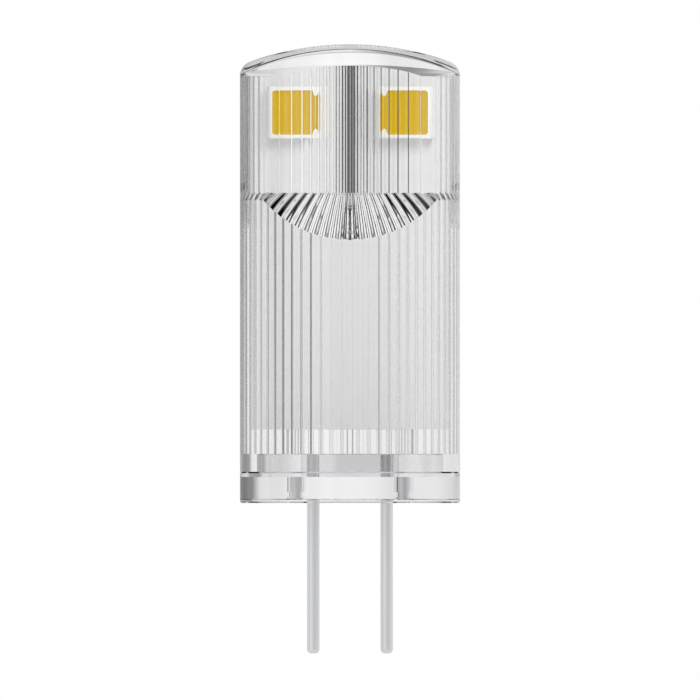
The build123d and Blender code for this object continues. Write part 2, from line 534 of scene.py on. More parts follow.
@dataclass(frozen=True)
class ClearAcrylic:
    """Acrylic, injection moulded in a polished tool: glass-clear, with very slight flow waves.

    The eye sees the room through it, bent by each flute, and a crisp sheen where it turns away.
    """

    name: str
    tint: str
    wave_height: float
    wave_size: float = 2.2
    ior: float = 1.49
    roughness: float = 0.0
    shadow_tint: str = "#F8F8F8"

    def make(self) -> bpy.types.Material:
        """Builds the material.

        Light that falls through the plastic onto what is inside it isn't bent, so it falls evenly. The
        same holds for what a satin surface inside reflects.

        Returns:
            The material.
        """
        material = bpy.data.materials.new(self.name)
        tree = fresh(material)
        coordinates = add_node(tree, "ShaderNodeTexCoord")
        waves = add_node(
            tree,
            "ShaderNodeTexNoise",
            {"Vector": coordinates.outputs["Object"], "Scale": 1 / (self.wave_size * MM), "Detail": 1.0},
        )
        plastic = add_node(
            tree,
            "ShaderNodeBsdfPrincipled",
            {
                "Base Color": linear(self.tint),
                "Roughness": self.roughness,
                "IOR": self.ior,
                "Transmission Weight": 1.0,
                "Normal": relieved(tree, waves.outputs["Fac"], self.wave_height),
            },
        )
        through = add_node(tree, "ShaderNodeBsdfTransparent", {"Color": linear(self.shadow_tint)})
        path = add_node(tree, "ShaderNodeLightPath").outputs
        satin = worked_out(tree, "SUBTRACT", path["Is Glossy Ray"], path["Is Singular Ray"])
        soft = worked_out(tree, "MAXIMUM", satin, path["Is Diffuse Ray"])
        unbent = worked_out(tree, "MAXIMUM", soft, path["Is Shadow Ray"])
        mix = blended(tree, unbent, plastic.outputs[0], through.outputs[0])
        add_node(tree, "ShaderNodeOutputMaterial", {"Surface": mix})
        return material


@dataclass(frozen=True)
class Finish:
    """An opaque finish whose colour, roughness and relief vary with a grain of real size, in millimetres."""

    name: str
    colour: str
    second_colour: str
    grain: float
    roughness: float
    roughness_range: float = 0.08
    relief: float = 0.0
    metallic: float = 0.0
    specular: float = 0.5
    stretch: Point = (1.0, 1.0, 1.0)
    detail: float = 3.0
    coat: float = 0.0
    coat_roughness: float = 0.08

    def make(self) -> bpy.types.Material:
        """Builds the material.

        Returns:
            The material.
        """
        material = bpy.data.materials.new(self.name)
        tree = fresh(material)
        coordinates = add_node(tree, "ShaderNodeTexCoord")
        scaled = add_node(
            tree, "ShaderNodeMapping", {"Vector": coordinates.outputs["Object"], "Scale": self.stretch}
        )
        grain = add_node(
            tree,
            "ShaderNodeTexNoise",
            {"Vector": scaled.outputs[0], "Scale": 1 / (self.grain * MM), "Detail": self.detail},
        )
        colour = add_node(
            tree,
            "ShaderNodeMix",
            {0: grain.outputs["Fac"], 6: linear(self.colour), 7: linear(self.second_colour)},
            data_type="RGBA",
        )
        rough = add_node(
            tree,
            "ShaderNodeMapRange",
            {
                "Value": grain.outputs["Fac"],
                "From Min": 0.25,
                "From Max": 0.75,
                "To Min": max(self.roughness - self.roughness_range, 0.02),
                "To Max": min(self.roughness + self.roughness_range, 1.0),
            },
        )
        inputs = {
            "Base Color": colour.outputs[2],
            "Roughness": rough.outputs[0],
            "Metallic": self.metallic,
            "Specular IOR Level": self.specular,
            "Coat Weight": self.coat,
            "Coat Roughness": self.coat_roughness,
        }
        if self.relief:
            inputs["Normal"] = relieved(tree, grain.outputs["Fac"], self.relief)
        surface = add_node(tree, "ShaderNodeBsdfPrincipled", inputs)
        add_node(tree, "ShaderNodeOutputMaterial", {"Surface": surface.outputs[0]})
        return material


# Water-clear, so that only its edges and flutes show.
COVER_PLASTIC = ClearAcrylic("acrylic_moulded_cover", "#FFFFFF", wave_height=0.00004)
# The same plastic, moulded thicker: a trace of grey.
BASE_PLASTIC = ClearAcrylic("acrylic_moulded_base", "#F7F7F8", wave_height=0.0001)
# Drawn wire: bright, with faint lines along it that blur what it mirrors.
TINNED_WIRE = Finish(
    "tinned_copper_drawn_wire", "#E8E9EA", "#DADBDD", grain=0.12, roughness=0.42, relief=0.002, metallic=1.0,
    stretch=(1.0, 1.0, 0.03),
)
# Frozen solder: brighter than the wire, a little rippled.
SOLDER = Finish("tin_solder_reflowed", "#C9CBCD", "#B2B4B7", grain=0.3, roughness=0.24, relief=0.01, metallic=1.0)
# Printed white lacquer: flat white, barely glossy.
SOLDER_MASK = Finish(
    "solder_mask_white_screen_printed", "#E3E3E4", "#DDDDDE", grain=0.5, roughness=0.42, relief=0.002,
)
# Filled white plastic: the whitest thing in the lamp, dull.
WHITE_PPA = Finish(
    "polyphthalamide_white_moulded", "#F6F6F2", "#EDEDE8", grain=0.12, roughness=0.5, relief=0.002,
)
# Silicone full of yellow powder: deep, even yellow with a soft skin.
PHOSPHOR = Finish(
    "phosphor_silicone_dispensed", "#D9B300", "#D0A800", grain=0.09, roughness=0.4, relief=0.003, specular=0.2,
)
# Sawn crystal: smooth and bluish.
DIE = Finish("sapphire_die_sawn", "#7F93C4", "#5E73A8", grain=0.2, roughness=0.15)
# Filled black resin: dull, with a fine grain from the mould.
EPOXY = Finish(
    "epoxy_black_transfer_moulded", "#26262A", "#1B1B1E", grain=0.06, roughness=0.62, relief=0.006,
)
# Fired ceramic: tan and slightly silky.
CERAMIC = Finish("barium_titanate_tan_fired", "#B08A62", "#9C7750", grain=0.15, roughness=0.5, relief=0.002)
# Plated ends and leads: pale grey metal, satin.
TIN = Finish("tin_plated_termination", "#D3D4D5", "#BEC0C1", grain=0.1, roughness=0.35, relief=0.004, metallic=1.0)
# Printed glass: black and shiny.
GLAZE = Finish("resistor_glaze_black_printed", "#1E1F22", "#141518", grain=0.1, roughness=0.3, coat=0.4)
# Bare fired ceramic: chalky white.
ALUMINA = Finish("alumina_white_fired", "#E9E9E4", "#DEDED8", grain=0.1, roughness=0.6)


class Finishes:
    """Every material of the lamp, each built once."""

    def __init__(self) -> None:
        """Starts with no material."""
        self.made: dict[str, bpy.types.Material] = {}

    def __call__(self, finish: ClearAcrylic | Finish) -> bpy.types.Material:
        """Returns the material of a finish, built when it is first asked for."""
        if finish.name not in self.made:
            self.made[finish.name] = finish.make()
        return self.made[finish.name]


# Cover


@dataclass
class Cover:
    """The clear cover: a tube under an arched roof, fluted inside all the way up to its flat chamber."""

    body_radius: float = 6.0
    top: float = 25.0
    roof_radius: float = 16.4
    roof_fillet: float = 0.55
    mouth: float = 1.7
    bore_start: float = 2.67
    bore_radius: float = 5.4
    counterbore: float = 0.05
    chamber_radius: float = 5.0
    chamber_half_depth: float = 2.6
    chamber_start: float = 16.9
    slope: float = 0.9
    crown: float = 23.8
    arch_radius: float = 10.4
    arch_rise: float = 0.56
    flute_count: int = 60
    flute_depth: float = 0.12
    steepest: float = 1.12
    pointed_flutes: float = 0.5
    columns: int = 16
    skin_columns: int = 288
    fillet_steps: int = 12
    roof_steps: int = 24
    smooth_angle: float = 40.0
    knee: float = 0.25

    def roof(self, x: float) -> float:
        """The roof's height at a place across the lamp."""
        return self.top - self.roof_radius + math.sqrt(self.roof_radius**2 - x**2)

    def skin_column(self, azimuth: float) -> Outline:
        """Draws the skin's line from the mouth up to the middle of the roof.

        Args:
            azimuth: Where the line stands, in radians from the front.

        Returns:
            Reach and height of each stage, in millimetres.
        """
        line = [(self.body_radius, self.mouth)]
        for step in range(self.fillet_steps + 1):
            turn = math.pi / 2 * step / self.fillet_steps
            reach = self.body_radius - self.roof_fillet * (1 - math.cos(turn))
            line.append((reach, self.roof(reach * math.sin(azimuth)) - self.roof_fillet * (1 - math.sin(turn))))
        edge = self.body_radius - self.roof_fillet
        for step in range(1, self.roof_steps):
            reach = edge * (1 - step / self.roof_steps)
            line.append((reach, self.roof(reach * math.sin(azimuth))))
        return line

    def wave(self, azimuth: float) -> float:
        """How far the wall stands in at an azimuth, as a share of the flutes' depth."""
        return 0.5 + 0.5 * math.cos(azimuth * self.flute_count)

    def flat_inset(self, azimuth: float) -> float:
        """Works out the flutes of the chamber's flat walls: pointed in the middle and soft beyond.

        Args:
            azimuth: The place on the wall, in radians from the front.

        Returns:
            How far the wall stands in there, in millimetres.
        """
        straightness = abs(math.cos(azimuth))
        spacing = self.chamber_half_depth / straightness**2 / self.flute_count
        soft = min(self.flute_depth, 2 * self.steepest * spacing) * self.wave(azimuth)
        flutes = math.atan2(abs(math.sin(azimuth)), straightness) * self.flute_count / math.tau
        pointed = math.pi * spacing * (1 - 2 * abs(flutes - round(flutes)))
        share = min(max(flutes - self.pointed_flutes, 0.0), 1.0)
        return pointed + (soft - pointed) * share

    def wall_column(self, azimuth: float) -> Outline:
        """Draws the inner wall's line over the bore, the sloping shoulder and the chamber.

        Args:
            azimuth: Where the line stands, in radians from the front.

        Returns:
            Reach and height at the mouth, rim, knee and top, in millimetres.
        """
        inset = self.flute_depth * self.wave(azimuth)
        straightness = abs(math.cos(azimuth))
        bore = self.bore_radius - inset
        lean = math.sqrt(1 + self.slope**2)
        if self.chamber_half_depth < self.chamber_radius * straightness:
            upper_inset = self.flat_inset(azimuth)
            chamber = (self.chamber_half_depth - upper_inset) / straightness
            slope_top = self.chamber_start + self.slope * self.chamber_half_depth
            fall = self.slope * straightness
        else:
            upper_inset = inset
            chamber = self.chamber_radius - inset
            slope_top = self.chamber_start + self.slope * self.chamber_radius
            fall = self.slope
        return [
            (bore, self.bore_start),
            (bore, slope_top - lean * inset - fall * bore),
            (chamber, slope_top - lean * upper_inset - fall * chamber),
            (chamber, self.top),
        ]

    def laid(self, name: str, count: int, line: Callable[[float], Outline]) -> bpy.types.Object:
        """Extrudes a disc in stages and lays each column of points on its line.

        Args:
            name: The piece's name.
            count: How many columns go round.
            line: Gives reach and height, in millimetres, for each stage at an azimuth from the front.

        Returns:
            The closed piece.
        """
        deselect()
        bpy.ops.mesh.primitive_circle_add(vertices=count, radius=self.body_radius * MM, fill_type="NGON")
        piece = named(name)
        with editing(piece):
            pick_all()
            for _ in line(0.0)[1:]:
                extrude(0, 0, 1)
            pick_all()
            bpy.ops.mesh.normals_make_consistent(inside=False)
        for vertex in piece.data.vertices:
            azimuth = math.atan2(vertex.co.x, -vertex.co.y)
            reach, height = line(azimuth)[round(vertex.co.z / MM)]
            vertex.co = Vector((reach * math.sin(azimuth), -reach * math.cos(azimuth), height)) * MM
        piece.data.update()
        return piece

    def crisp(self, cover: bpy.types.Object) -> None:
        """Keeps each knee between a wall and a shoulder sharp, so that it bends light as two faces do.

        Args:
            cover: The cover, already shaded smooth.
        """
        with editing(cover, Part.EDGE):
            mesh = bmesh.from_edit_mesh(cover.data)
            for edge in mesh.edges:
                rises = [abs(face.normal.z) for face in edge.link_faces]
                if max(rises) - min(rises) > self.knee:
                    edge.smooth = False
            bmesh.update_edit_mesh(cover.data)

    def build(self, finishes: Finishes) -> None:
        """Makes and dresses the cover."""
        cover = self.laid("cover", self.skin_columns, self.skin_column)
        core = self.laid("cover_core", self.flute_count * self.columns, self.wall_column)
        shoulder = self.crown - self.arch_rise
        combine(core, above_arch("cover_ceiling", shoulder, self.crown, self.arch_radius, self.body_radius + 1))
        combine(cover, core)
        radius = self.bore_radius + self.counterbore
        length = self.bore_start - self.mouth + 1
        combine(cover, rod("cover_mouth", (0, 0, self.mouth - 1), radius, length, self.skin_columns))
        smooth(cover, self.smooth_angle)
        self.crisp(cover)
        place(cover, [finishes(COVER_PLASTIC)], "cover_plastic", "cover")


# Base and pins


@dataclass
class Base:
    """The clear plug under the cover, with the two pins moulded into it."""

    body_radius: float = 6.0
    flange: float = 1.7
    chamfer: float = 0.08
    recess: float = 0.22
    rim: float = 0.8
    floor_top: float = 1.42
    ring_radius: float = 5.07
    ring_wall: float = 0.65
    ring_top: float = 2.67
    edge: float = 0.04
    block_width: float = 5.24
    block_depth: float = 1.8
    block_foot: float = 0.25
    block_step: float = 0.46
    block_sink: float = 0.2
    pin_pitch: float = 4.0
    pin_radius: float = 0.34
    pin_length: float = 8.2
    pin_top: float = 5.7
    pin_chamfer: float = 0.06
    pin_fit: float = 0.01
    tip: float = 0.24
    groove_low: float = 0.3
    groove_width: float = 0.3
    groove_depth: float = 0.08
    steps: int = 288
    pin_steps: int = 64
    tip_steps: int = 8

    def plug(self) -> bpy.types.Object:
        """Turns the flange, with its recessed underside, and the thin ring that stands in the cover.

        Returns:
            The plug.
        """
        r, c, e = self.body_radius, self.chamfer, self.edge
        inner = self.ring_radius - self.ring_wall
        under = r - self.rim
        outline = [(0.0, self.recess), (under - e, self.recess), (under, self.recess - e), (under, e)]
        outline += [(under + e, 0.0), (r - c, 0.0), (r, c), (r, self.flange - c), (r - c, self.flange)]
        outline += [(self.ring_radius, self.flange), (self.ring_radius, self.ring_top - e)]
        outline += [(self.ring_radius - e, self.ring_top), (inner + e, self.ring_top), (inner, self.ring_top - e)]
        outline += [(inner, self.floor_top), (0.0, self.floor_top)]
        return turned("base", outline, self.steps)

    def pin_block(self) -> bpy.types.Object:
        """Makes the block round the pins, on its wider foot.

        Returns:
            The block, which reaches down into the plug's floor.
        """
        half, depth = self.block_width / 2, self.block_depth / 2
        foot = depth + self.block_foot
        low, step = self.floor_top - self.block_sink, self.floor_top + self.block_step
        body = block("base_block", (-half, -foot, low), (half, foot, step))
        with editing(body):
            for side in (-depth, depth):
                pick_all()
                bpy.ops.mesh.bisect(plane_co=(0, side * MM, 0), plane_no=(0, 1, 0))
            pick(body, Part.FACE, lambda middle, facing: facing.z > 0.9 and abs(middle.y) < depth)
            extrude(0, 0, self.ring_top - step)
        return body

    def pin_hole(self, x: float) -> bpy.types.Object:
        """Turns the space of one pin in the base, with its groove left filled.

        Args:
            x: Where the pin stands across the lamp.

        Returns:
            The space.
        """
        r = self.pin_radius + self.pin_fit
        neck = r - self.groove_depth
        low, high = self.groove_low + self.pin_fit, self.groove_low + self.groove_width - self.pin_fit
        outline = [(0.0, -1.0), (r, -1.0), (r, low), (neck, low), (neck, high), (r, high)]
        outline += [(r, self.ring_top + 1), (0.0, self.ring_top + 1)]
        return turned("base_hole", outline, self.pin_steps, x)

    def pin(self, name: str, x: float) -> bpy.types.Object:
        """Turns one pin: a straight wire with a rounded tip and a shallow groove where the base holds it.

        Args:
            name: The pin's name.
            x: Where it stands across the lamp.

        Returns:
            The pin.
        """
        r, tip, top, bevel = self.pin_radius, self.tip, self.pin_top, self.pin_chamfer
        low, high = self.groove_low, self.groove_low + self.groove_width
        neck = r - self.groove_depth
        outline = [(0.0, -self.pin_length)]
        outline += arc((r - tip, -self.pin_length + tip), tip, -90, 0, self.tip_steps)
        outline += [(r, low), (neck, low), (neck, high), (r, high), (r, top - bevel), (r - bevel, top), (0.0, top)]
        return turned(name, outline, self.pin_steps, x)

    def build(self, finishes: Finishes) -> None:
        """Makes and dresses the base and its pins."""
        half = self.pin_pitch / 2
        base = self.plug()
        combine(base, self.pin_block(), "UNION")
        for x in (-half, half):
            combine(base, self.pin_hole(x))
        left = self.pin("pin_left", -half)
        smooth(left)
        right = copied(left, "pin_right", (self.pin_pitch, 0, 0))
        for pin, side in zip((left, right), SIDES):
            place(pin, [finishes(TINNED_WIRE)], "pin_metal", f"pin_{side}")
        smooth(base)
        place(base, [finishes(BASE_PLASTIC)], "base_plastic", "base")


# Board and what it carries


@dataclass
class Board:
    """The white board, whose top follows the cover's ceiling."""

    edge: float = 0.03
    shoulder: float = 23.16
    crown: float = 23.72
    arch_radius: float = 10.32

    def build(self, finishes: Finishes) -> None:
        """Makes and dresses the board."""
        low, high = span("board")
        board = block("board", tuple(low), (high.x, high.y, self.crown + self.edge))
        combine(board, above_arch("board_top", self.shoulder, self.crown, self.arch_radius, 2 * high.x))
        soften(board, self.edge)
        smooth(board)
        place(board, [finishes(SOLDER_MASK)], "board_white", "board")


@dataclass
class Emitters:
    """The four light-emitting packages, two on each side of the board: white blocks with a pocket of phosphor."""

    names: tuple[str, ...] = ("front_left", "front_right", "rear_left", "rear_right")
    side_rim: float = 0.16
    end_rim: float = 0.21
    pocket: float = 0.4
    cut_corner: float = 0.33
    round_corner: float = 0.15
    corner_steps: int = 6
    edge: float = 0.04
    pocket_over: float = 0.2
    meniscus: tuple[float, ...] = (0.035, 0.015)
    meniscus_step: float = 0.06
    meniscus_angle: float = 30.0

    def pocket_form(self, name: str, over: float) -> bpy.types.Object:
        """Makes the form of the front left package's pocket.

        Args:
            name: The form's name.
            over: How far it stands over the package's face, in millimetres.

        Returns:
            The form, with cut corners towards the lamp's middle and round ones away from it.
        """
        low, high = span(f"led_{self.names[0]}")
        left, right = low.x + self.side_rim, high.x - self.side_rim
        middle = (left + right) / 2
        form = block(
            name, (left, low.y - over, low.z + self.end_rim), (right, low.y + self.pocket, high.z - self.end_rim)
        )
        with editing(form, Part.EDGE):
            pick(form, Part.EDGE, lambda m, run: abs(run.y) > 0.9 and m.x > middle)
            bpy.ops.mesh.bevel(offset=self.cut_corner * MM, segments=1, affect="EDGES")
            pick(form, Part.EDGE, lambda m, run: abs(run.y) > 0.9 and m.x < left + 0.01)
            bpy.ops.mesh.bevel(offset=self.round_corner * MM, segments=self.corner_steps, affect="EDGES")
        return form

    def package(self) -> bpy.types.Object:
        """Makes the front left package.

        Returns:
            The package with its empty pocket.
        """
        name = f"led_{self.names[0]}"
        low, high = span(name)
        package = block(name, tuple(low), tuple(high))
        soften(package, self.edge)
        combine(package, self.pocket_form("led_pocket", self.pocket_over))
        smooth(package)
        return package

    def phosphor(self) -> bpy.types.Object:
        """Makes the front left package's phosphor, whose surface sinks in from its edge.

        Returns:
            The phosphor.
        """
        phosphor = self.pocket_form(f"phosphor_{self.names[0]}", 0.0)
        with editing(phosphor):
            pick(phosphor, Part.FACE, lambda m, facing: facing.y < -0.9)
            for sink in self.meniscus:
                bpy.ops.mesh.inset(thickness=self.meniscus_step * MM)
                bpy.ops.transform.translate(value=(0, sink * MM, 0))
        smooth(phosphor, self.meniscus_angle)
        return phosphor

    def build(self, finishes: Finishes) -> None:
        """Makes one package and its phosphor, copies them to the other three places and dresses all."""
        kinds = (("led", WHITE_PPA, "led_white"), ("phosphor", PHOSPHOR, "phosphor_yellow"))
        left, right, rear_left, rear_right = self.names
        back = (0, (span(f"led_{rear_left}")[0] - span(f"led_{left}")[0]).y, 0)
        made = {left: [self.package(), self.phosphor()]}
        made[right] = [mirrored(piece, f"{kind}_{right}", Axis.ACROSS) for piece, (kind, *_) in zip(made[left], kinds)]
        for front, rear in ((left, rear_left), (right, rear_right)):
            made[rear] = [copied(piece, f"{kind}_{rear}", back) for piece, (kind, *_) in zip(made[front], kinds)]
        for name, pieces in made.items():
            for piece, (kind, finish, slot) in zip(pieces, kinds):
                place(piece, [finishes(finish)], slot, f"{kind}_{name}")
            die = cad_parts[f"die_{name}"]
            die.data.materials.clear()
            die.data.materials.append(finishes(DIE))


@dataclass
class MouldedPackage:
    """A black moulded package with drafted sides and bent leads above and below it."""

    name: str
    columns: tuple[float, ...]
    lead_thickness: float = 0.2
    lead_width: float = 0.45
    lead_reach: float = 0.5
    lead_edge: float = 0.05
    lead_edge_angle: float = 60.0
    draft: float = 6.0
    edge: float = 0.05
    edge_angle: float = 20.0
    mark_radius: float = 0.22
    mark_depth: float = 0.05
    mark_steps: int = 32

    def body(self, low: Vector, high: Vector) -> bpy.types.Object:
        """Makes the moulding: two drafted halves that meet in a parting line, with a dimple at one end.

        Args:
            low: The package's lowest corner, leads included.
            high: Its highest corner.

        Returns:
            The moulding.
        """
        piece = block(self.name, (low.x, low.y, low.z + self.lead_reach), (high.x, high.y, high.z - self.lead_reach))
        middle = (low + high) / 2
        pull = math.tan(math.radians(self.draft)) * (high.y - low.y)
        narrow = 1 - pull / (high.x - low.x)
        short = 1 - pull / (high.z - low.z - 2 * self.lead_reach)
        with editing(piece):
            pick_all()
            bpy.ops.mesh.bisect(plane_co=middle * MM, plane_no=(0, 1, 0))
            pick(piece, Part.FACE, lambda m, facing: abs(facing.y) > 0.9)
            bpy.ops.transform.resize(value=(narrow, 1, short), center_override=middle * MM)
        soften(piece, self.edge, angle=self.edge_angle)
        deselect()
        inset = 2.2 * self.mark_radius
        bpy.ops.mesh.primitive_cylinder_add(
            vertices=self.mark_steps,
            radius=self.mark_radius * MM,
            depth=2 * self.mark_depth * MM,
            location=Vector((low.x + inset + pull / 2, high.y, high.z - self.lead_reach - inset)) * MM,
            rotation=(math.pi / 2, 0, 0),
        )
        combine(piece, named(f"{self.name}_mark"))
        smooth(piece)
        return piece

    def lead(self, low: Vector, high: Vector, x: float) -> bpy.types.Object:
        """Makes one upper lead, bent down to its foot on the board.

        Args:
            low: The package's lowest corner.
            high: Its highest corner.
            x: Where the lead stands across the lamp.

        Returns:
            The lead.
        """
        t, reach, width = self.lead_thickness, self.lead_reach, self.lead_width
        top = (high.y - low.y) / 2 + t / 2
        outline = [(top - t, -t), (top, -t), (top, reach / 2), (t, reach / 2), (t, reach), (0, reach)]
        outline += [(0, reach / 2 - t), (top - t, reach / 2 - t)]
        corners = [(low.y + y, high.z - reach + z) for y, z in outline]
        lead = strip(f"{self.name}_lead", corners, x - width / 2, x + width / 2)
        soften(lead, self.lead_edge, angle=self.lead_edge_angle)
        smooth(lead)
        return lead

    def build(self, finishes: Finishes) -> None:
        """Makes and dresses the package and its leads where its CAD node is."""
        low, high = span(self.name)
        place(self.body(low, high), [finishes(EPOXY)], "package_black", self.name)
        middle = (low + high) / 2
        start = self.columns[0]
        first = self.lead(low, high, middle.x + start)
        upper = [first] + [copied(first, first.name, (x - start, 0, 0)) for x in self.columns[1:]]
        lower = [mirrored(lead, lead.name, Axis.HEIGHT, middle.z) for lead in upper]
        place(join(upper + lower, f"{self.name}_leads"), [finishes(TIN)], "solder_metal", self.name)


@dataclass
class ChipPair:
    """Two small ceramic parts with tinned ends, as capacitors and resistors are made."""

    kind: str
    slot: str
    body_finish: Finish
    cap: float
    step: float = 0.025
    edge: float = 0.06
    edge_steps: int = 3
    glaze: Finish | None = None
    glaze_margin: float = 0.05
    glaze_rise: float = 0.02

    def form(self) -> bpy.types.Object:
        """Makes the left part: a slimmer body between its caps, with a raised glaze if it has one.

        Returns:
            The part, whose faces hold the index of body, cap or glaze.
        """
        name = f"{self.kind}_{SIDES[0]}"
        low, high = span(name)
        piece = block(name, tuple(low), tuple(high))
        soften(piece, self.edge, self.edge_steps)
        ends = (low.z + self.cap, high.z - self.cap)
        inner = (ends[0] + self.step * 0.4, ends[1] - self.step * 0.4)
        shrink = [1 - 2 * self.step / (b - a) for a, b in zip(low, high)]
        with editing(piece):
            for height in ends:
                for shift in (-self.step / 2, self.step / 2):
                    pick_all()
                    bpy.ops.mesh.bisect(plane_co=(0, 0, (height + shift) * MM), plane_no=(0, 0, 1))
            pick(piece, Part.FACE, lambda m, facing: inner[0] < m.z < inner[1])
            bpy.ops.transform.resize(value=(shrink[0], shrink[1], 1), center_override=(low + high) / 2 * MM)
        for face in piece.data.polygons:
            face.material_index = 0 if inner[0] < face.center.z / MM < inner[1] else 1
        smooth(piece)
        if self.glaze:
            top = max(face.center.y for face in piece.data.polygons if face.material_index == 0)
            with editing(piece):
                pick(piece, Part.FACE, lambda m, facing: inner[0] < m.z < inner[1] and m.y > top / MM - 0.01)
                bpy.ops.mesh.inset(thickness=self.glaze_margin * MM)
                bpy.ops.transform.translate(value=(0, self.glaze_rise * MM, 0))
            for face in piece.data.polygons:
                if face.material_index == 0 and face.center.y > top + self.glaze_rise / 2 * MM:
                    face.material_index = 2
        return piece

    def other(self, left: bpy.types.Object) -> bpy.types.Object:
        """Copies the left part to the place of the right one."""
        left_node, right_node = (f"{self.kind}_{side}" for side in SIDES)
        return copied(left, right_node, tuple(span(right_node)[0] - span(left_node)[0]))

    def dress(self, piece: bpy.types.Object, side: str, finishes: Finishes) -> None:
        """Dresses the part of one side."""
        made = [finishes(finish) for finish in (self.body_finish, TIN, self.glaze) if finish]
        place(piece, made, self.slot, f"{self.kind}_{side}")


@dataclass
class SolderJoints:
    """The two beads of solder that tie the pins to the back of the board."""

    draw_in: float = 0.52
    draw_steps: int = 3
    cuts: int = 5
    levels: int = 2
    smooth_angle: float = 50.0
    pin_radius: float = 0.34
    pin_pitch: float = 4.0
    pin_steps: int = 64

    def form(self) -> bpy.types.Object:
        """Makes the left bead, drawn in towards the back and cut by its pin.

        Returns:
            The bead.
        """
        name = f"solder_{SIDES[0]}"
        low, high = span(name)
        middle = (low + high) / 2
        centre = Vector((middle.x, 0, middle.z)) * MM
        factor = self.draw_in ** (1 / self.draw_steps)
        bead = block(name, tuple(low), tuple(high))
        with editing(bead):
            pick_all()
            bpy.ops.mesh.subdivide(number_cuts=self.cuts)
            for step in range(1, self.draw_steps + 1):
                level = low.y + (high.y - low.y) * step / self.draw_steps - 0.02
                pick(bead, Part.VERTEX, lambda m, facing: m.y > level)
                bpy.ops.transform.resize(value=(factor, 1, factor), center_override=centre)
        activate(bead)
        bpy.ops.object.modifier_add(type="SUBSURF")
        change = bead.modifiers[-1]
        change.levels = change.render_levels = self.levels
        bpy.ops.object.modifier_apply(modifier=change.name)
        foot = (-self.pin_pitch / 2, 0, low.z - 1)
        combine(bead, rod(f"{name}_wire", foot, self.pin_radius, high.z - low.z + 2, self.pin_steps))
        smooth(bead, self.smooth_angle)
        return bead

    def other(self, left: bpy.types.Object) -> bpy.types.Object:
        """Mirrors the left bead to the right."""
        return mirrored(left, f"solder_{SIDES[1]}", Axis.ACROSS)

    def dress(self, piece: bpy.types.Object, side: str, finishes: Finishes) -> None:
        """Dresses the bead of one side."""
        place(piece, [finishes(SOLDER)], "solder_metal", f"solder_{side}")


class Driver:
    """The driver on the back of the board: rectifier, chip, capacitors, resistors and solder."""

    def build(self, finishes: Finishes) -> None:
        """Makes every part of the driver."""
        MouldedPackage("rectifier", (-1.27, 1.27), mark_radius=0.3).build(finishes)
        MouldedPackage("driver_chip", (-0.95, 0.0, 0.95)).build(finishes)
        pairs = (
            ChipPair("capacitor", "capacitor_tan", CERAMIC, cap=0.55),
            ChipPair("resistor", "resistor_black", ALUMINA, cap=0.3, glaze=GLAZE),
            SolderJoints(),
        )
        left = [pair.form() for pair in pairs]
        right = [pair.other(piece) for pair, piece in zip(pairs, left)]
        for side, pieces in zip(SIDES, (left, right)):
            for pair, piece in zip(pairs, pieces):
                pair.dress(piece, side, finishes)


# Studio


